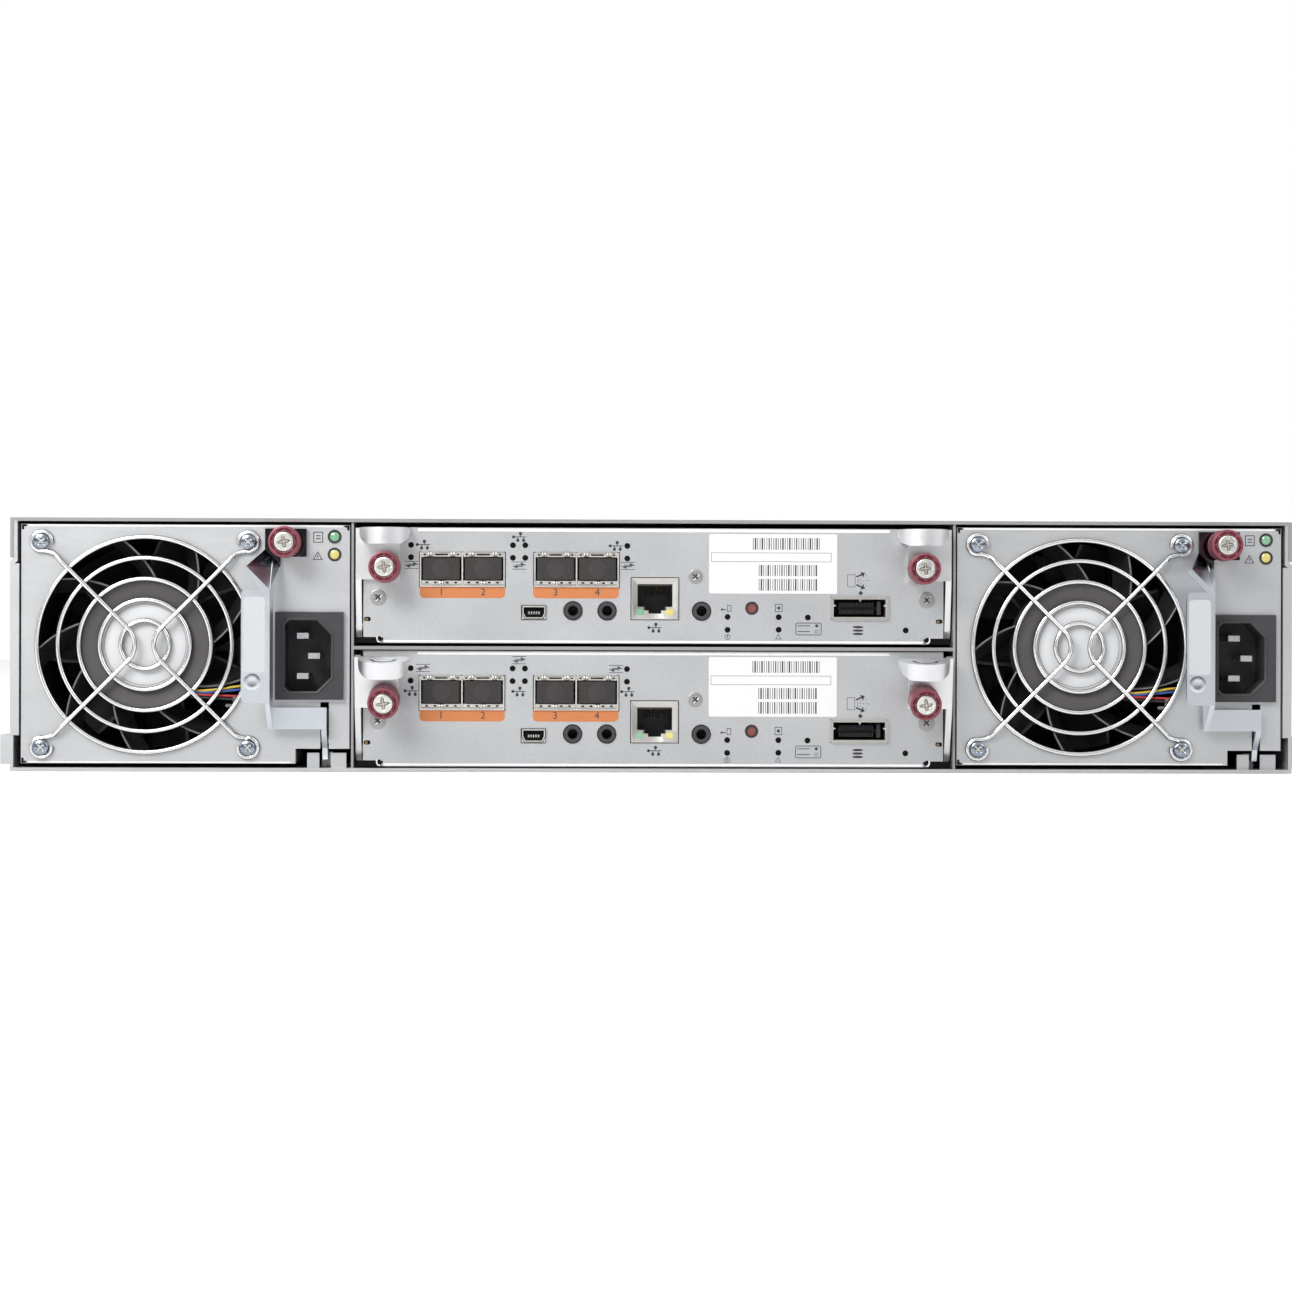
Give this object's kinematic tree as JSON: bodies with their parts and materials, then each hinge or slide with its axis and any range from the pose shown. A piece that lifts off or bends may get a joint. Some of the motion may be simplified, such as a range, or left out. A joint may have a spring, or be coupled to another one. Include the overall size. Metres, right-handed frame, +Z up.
{
  "type": "disk shelf enclosure",
  "caption": "Two-unit rack storage enclosure with sliding controllers, power modules with fans, cam latches and filled drive bays.",
  "frame": {"origin": "centre of the underside of the shell", "axes": "+Z up, -Y towards the module end, +X to the right for someone facing the module end"},
  "size_m": [0.4826, 0.5773, 0.088],
  "materials": {
    "zinc_sheet": "fine-grained zinc-plated sheet, satin",
    "bright_zinc": "bright zinc plating, softly mirrored",
    "bright_wire": "polished nickel-chrome wire",
    "nickel_shell": "nickel-plated stamped shells",
    "plated_contact": "bright contact metal",
    "black_plastic": "moulded plastic, slight sheen",
    "dark_plastic": "moulded plastic, fine texture",
    "screw_red": "burgundy moulded knob",
    "button_red": "small moulded button",
    "circuit_board": "solder-masked board"
  },
  "bodies": {
    "enclosure": {"base_tray": "zinc_sheet", "top_cover": "zinc_sheet", "partition_left": "zinc_sheet", "partition_right": "zinc_sheet", "controller_shelf": "zinc_sheet", "midplane_board": "circuit_board", "midplane_sockets": "black_plastic", "drive_cage": "zinc_sheet", "rack_ears": "zinc_sheet", "rail_stops": "zinc_sheet"},
    "bay_blank_11": {"bay_blank_11": "dark_plastic"},
    "bay_blank_12": {"bay_blank_12": "dark_plastic"},
    "bay_blank_13": {"bay_blank_13": "dark_plastic"},
    "bay_blank_21": {"bay_blank_21": "dark_plastic"},
    "bay_blank_22": {"bay_blank_22": "dark_plastic"},
    "bay_blank_23": {"bay_blank_23": "dark_plastic"},
    "bay_blank_31": {"bay_blank_31": "dark_plastic"},
    "bay_blank_32": {"bay_blank_32": "dark_plastic"},
    "bay_blank_33": {"bay_blank_33": "dark_plastic"},
    "bay_blank_41": {"bay_blank_41": "dark_plastic"},
    "bay_blank_42": {"bay_blank_42": "dark_plastic"},
    "bay_blank_43": {"bay_blank_43": "dark_plastic"},
    "power_left_module": {"power_left_case": "zinc_sheet", "power_left_fan_frame": "black_plastic", "power_left_fan_guard": "bright_wire", "power_left_inlet": "black_plastic", "power_left_inlet_pins": "plated_contact", "power_left_handle_pin": "bright_wire"},
    "power_left_fan_rotor": {"power_left_fan_rotor": "black_plastic"},
    "power_left_handle": {"power_left_handle": "bright_zinc"},
    "power_left_thumbscrew": {"power_left_thumbscrew": "screw_red"},
    "power_right_module": {"power_right_case": "zinc_sheet", "power_right_fan_frame": "black_plastic", "power_right_fan_guard": "bright_wire", "power_right_inlet": "black_plastic", "power_right_inlet_pins": "plated_contact", "power_right_handle_pin": "bright_wire"},
    "power_right_fan_rotor": {"power_right_fan_rotor": "black_plastic"},
    "power_right_handle": {"power_right_handle": "bright_zinc"},
    "power_right_thumbscrew": {"power_right_thumbscrew": "screw_red"},
    "controller_lower_module": {"controller_lower_tray": "zinc_sheet", "controller_lower_card": "circuit_board", "controller_lower_port_shells": "nickel_shell", "controller_lower_port_inserts": "black_plastic", "controller_lower_port_plugs": "dark_plastic"},
    "controller_lower_button": {"controller_lower_button": "button_red"},
    "controller_lower_latch_left": {"controller_lower_latch_left": "bright_zinc"},
    "controller_lower_screw_left": {"controller_lower_screw_left": "screw_red"},
    "controller_lower_latch_right": {"controller_lower_latch_right": "bright_zinc"},
    "controller_lower_screw_right": {"controller_lower_screw_right": "screw_red"},
    "controller_upper_module": {"controller_upper_tray": "zinc_sheet", "controller_upper_card": "circuit_board", "controller_upper_port_shells": "nickel_shell", "controller_upper_port_inserts": "black_plastic", "controller_upper_port_plugs": "dark_plastic"},
    "controller_upper_button": {"controller_upper_button": "button_red"},
    "controller_upper_latch_left": {"controller_upper_latch_left": "bright_zinc"},
    "controller_upper_screw_left": {"controller_upper_screw_left": "screw_red"},
    "controller_upper_latch_right": {"controller_upper_latch_right": "bright_zinc"},
    "controller_upper_screw_right": {"controller_upper_screw_right": "screw_red"}
  },
  "joints": [
    {"name": "bay_blank_11_slide", "type": "slide", "parent": "enclosure", "child": "bay_blank_11", "axis": [0, 1, 0], "range_m": [0, 0.174]},
    {"name": "bay_blank_12_slide", "type": "slide", "parent": "enclosure", "child": "bay_blank_12", "axis": [0, 1, 0], "range_m": [0, 0.174]},
    {"name": "bay_blank_13_slide", "type": "slide", "parent": "enclosure", "child": "bay_blank_13", "axis": [0, 1, 0], "range_m": [0, 0.174]},
    {"name": "bay_blank_21_slide", "type": "slide", "parent": "enclosure", "child": "bay_blank_21", "axis": [0, 1, 0], "range_m": [0, 0.174]},
    {"name": "bay_blank_22_slide", "type": "slide", "parent": "enclosure", "child": "bay_blank_22", "axis": [0, 1, 0], "range_m": [0, 0.174]},
    {"name": "bay_blank_23_slide", "type": "slide", "parent": "enclosure", "child": "bay_blank_23", "axis": [0, 1, 0], "range_m": [0, 0.174]},
    {"name": "bay_blank_31_slide", "type": "slide", "parent": "enclosure", "child": "bay_blank_31", "axis": [0, 1, 0], "range_m": [0, 0.174]},
    {"name": "bay_blank_32_slide", "type": "slide", "parent": "enclosure", "child": "bay_blank_32", "axis": [0, 1, 0], "range_m": [0, 0.174]},
    {"name": "bay_blank_33_slide", "type": "slide", "parent": "enclosure", "child": "bay_blank_33", "axis": [0, 1, 0], "range_m": [0, 0.174]},
    {"name": "bay_blank_41_slide", "type": "slide", "parent": "enclosure", "child": "bay_blank_41", "axis": [0, 1, 0], "range_m": [0, 0.174]},
    {"name": "bay_blank_42_slide", "type": "slide", "parent": "enclosure", "child": "bay_blank_42", "axis": [0, 1, 0], "range_m": [0, 0.174]},
    {"name": "bay_blank_43_slide", "type": "slide", "parent": "enclosure", "child": "bay_blank_43", "axis": [0, 1, 0], "range_m": [0, 0.174]},
    {"name": "power_left_slide", "type": "slide", "parent": "enclosure", "child": "power_left_module", "axis": [0, -1, 0], "range_m": [0, 0.35]},
    {"name": "power_left_fan_spin", "type": "hinge", "parent": "power_left_module", "child": "power_left_fan_rotor", "pos_m": [-0.1769, -0.2645, 0.044], "axis": [0, 1, 0], "continuous": true},
    {"name": "power_left_handle_swing", "type": "hinge", "parent": "power_left_module", "child": "power_left_handle", "pos_m": [-0.1146, -0.274, 0.011], "axis": [1, 0, 0], "range_deg": [0, 75]},
    {"name": "power_left_thumbscrew_travel", "type": "slide", "parent": "power_left_handle", "child": "power_left_thumbscrew", "axis": [0, 1, 0], "range_m": [0, 0.0035]},
    {"name": "power_right_slide", "type": "slide", "parent": "enclosure", "child": "power_right_module", "axis": [0, -1, 0], "range_m": [0, 0.35]},
    {"name": "power_right_fan_spin", "type": "hinge", "parent": "power_right_module", "child": "power_right_fan_rotor", "pos_m": [0.1489, -0.2645, 0.044], "axis": [0, 1, 0], "continuous": true},
    {"name": "power_right_handle_swing", "type": "hinge", "parent": "power_right_module", "child": "power_right_handle", "pos_m": [0.2112, -0.274, 0.011], "axis": [1, 0, 0], "range_deg": [0, 75]},
    {"name": "power_right_thumbscrew_travel", "type": "slide", "parent": "power_right_handle", "child": "power_right_thumbscrew", "axis": [0, 1, 0], "range_m": [0, 0.0035]},
    {"name": "controller_lower_slide", "type": "slide", "parent": "enclosure", "child": "controller_lower_module", "axis": [0, -1, 0], "range_m": [0, 0.35]},
    {"name": "controller_lower_button_press", "type": "slide", "parent": "controller_lower_module", "child": "controller_lower_button", "axis": [0, 1, 0], "range_m": [0, 0.0015], "stiffness_N_per_m": 300, "springref_m": -0.0005},
    {"name": "controller_lower_latch_left_swing", "type": "hinge", "parent": "controller_lower_module", "child": "controller_lower_latch_left", "pos_m": [-0.1029, -0.273, 0.0078], "axis": [1, 0, 0], "range_deg": [-11, 44]},
    {"name": "controller_lower_screw_left_travel", "type": "slide", "parent": "controller_lower_latch_left", "child": "controller_lower_screw_left", "axis": [0, 0.9816, 0.1908], "range_m": [0, 0.0035]},
    {"name": "controller_lower_latch_right_swing", "type": "hinge", "parent": "controller_lower_module", "child": "controller_lower_latch_right", "pos_m": [0.1029, -0.273, 0.0078], "axis": [1, 0, 0], "range_deg": [-11, 44]},
    {"name": "controller_lower_screw_right_travel", "type": "slide", "parent": "controller_lower_latch_right", "child": "controller_lower_screw_right", "axis": [0, 0.9816, 0.1908], "range_m": [0, 0.0035]},
    {"name": "controller_upper_slide", "type": "slide", "parent": "enclosure", "child": "controller_upper_module", "axis": [0, -1, 0], "range_m": [0, 0.35]},
    {"name": "controller_upper_button_press", "type": "slide", "parent": "controller_upper_module", "child": "controller_upper_button", "axis": [0, 1, 0], "range_m": [0, 0.0015], "stiffness_N_per_m": 300, "springref_m": -0.0005},
    {"name": "controller_upper_latch_left_swing", "type": "hinge", "parent": "controller_upper_module", "child": "controller_upper_latch_left", "pos_m": [-0.1029, -0.273, 0.0508], "axis": [1, 0, 0], "range_deg": [0, 55]},
    {"name": "controller_upper_screw_left_travel", "type": "slide", "parent": "controller_upper_latch_left", "child": "controller_upper_screw_left", "axis": [0, 1, 0], "range_m": [0, 0.0035]},
    {"name": "controller_upper_latch_right_swing", "type": "hinge", "parent": "controller_upper_module", "child": "controller_upper_latch_right", "pos_m": [0.1029, -0.273, 0.0508], "axis": [1, 0, 0], "range_deg": [0, 55]},
    {"name": "controller_upper_screw_right_travel", "type": "slide", "parent": "controller_upper_latch_right", "child": "controller_upper_screw_right", "axis": [0, 1, 0], "range_m": [0, 0.0035]}
  ]
}
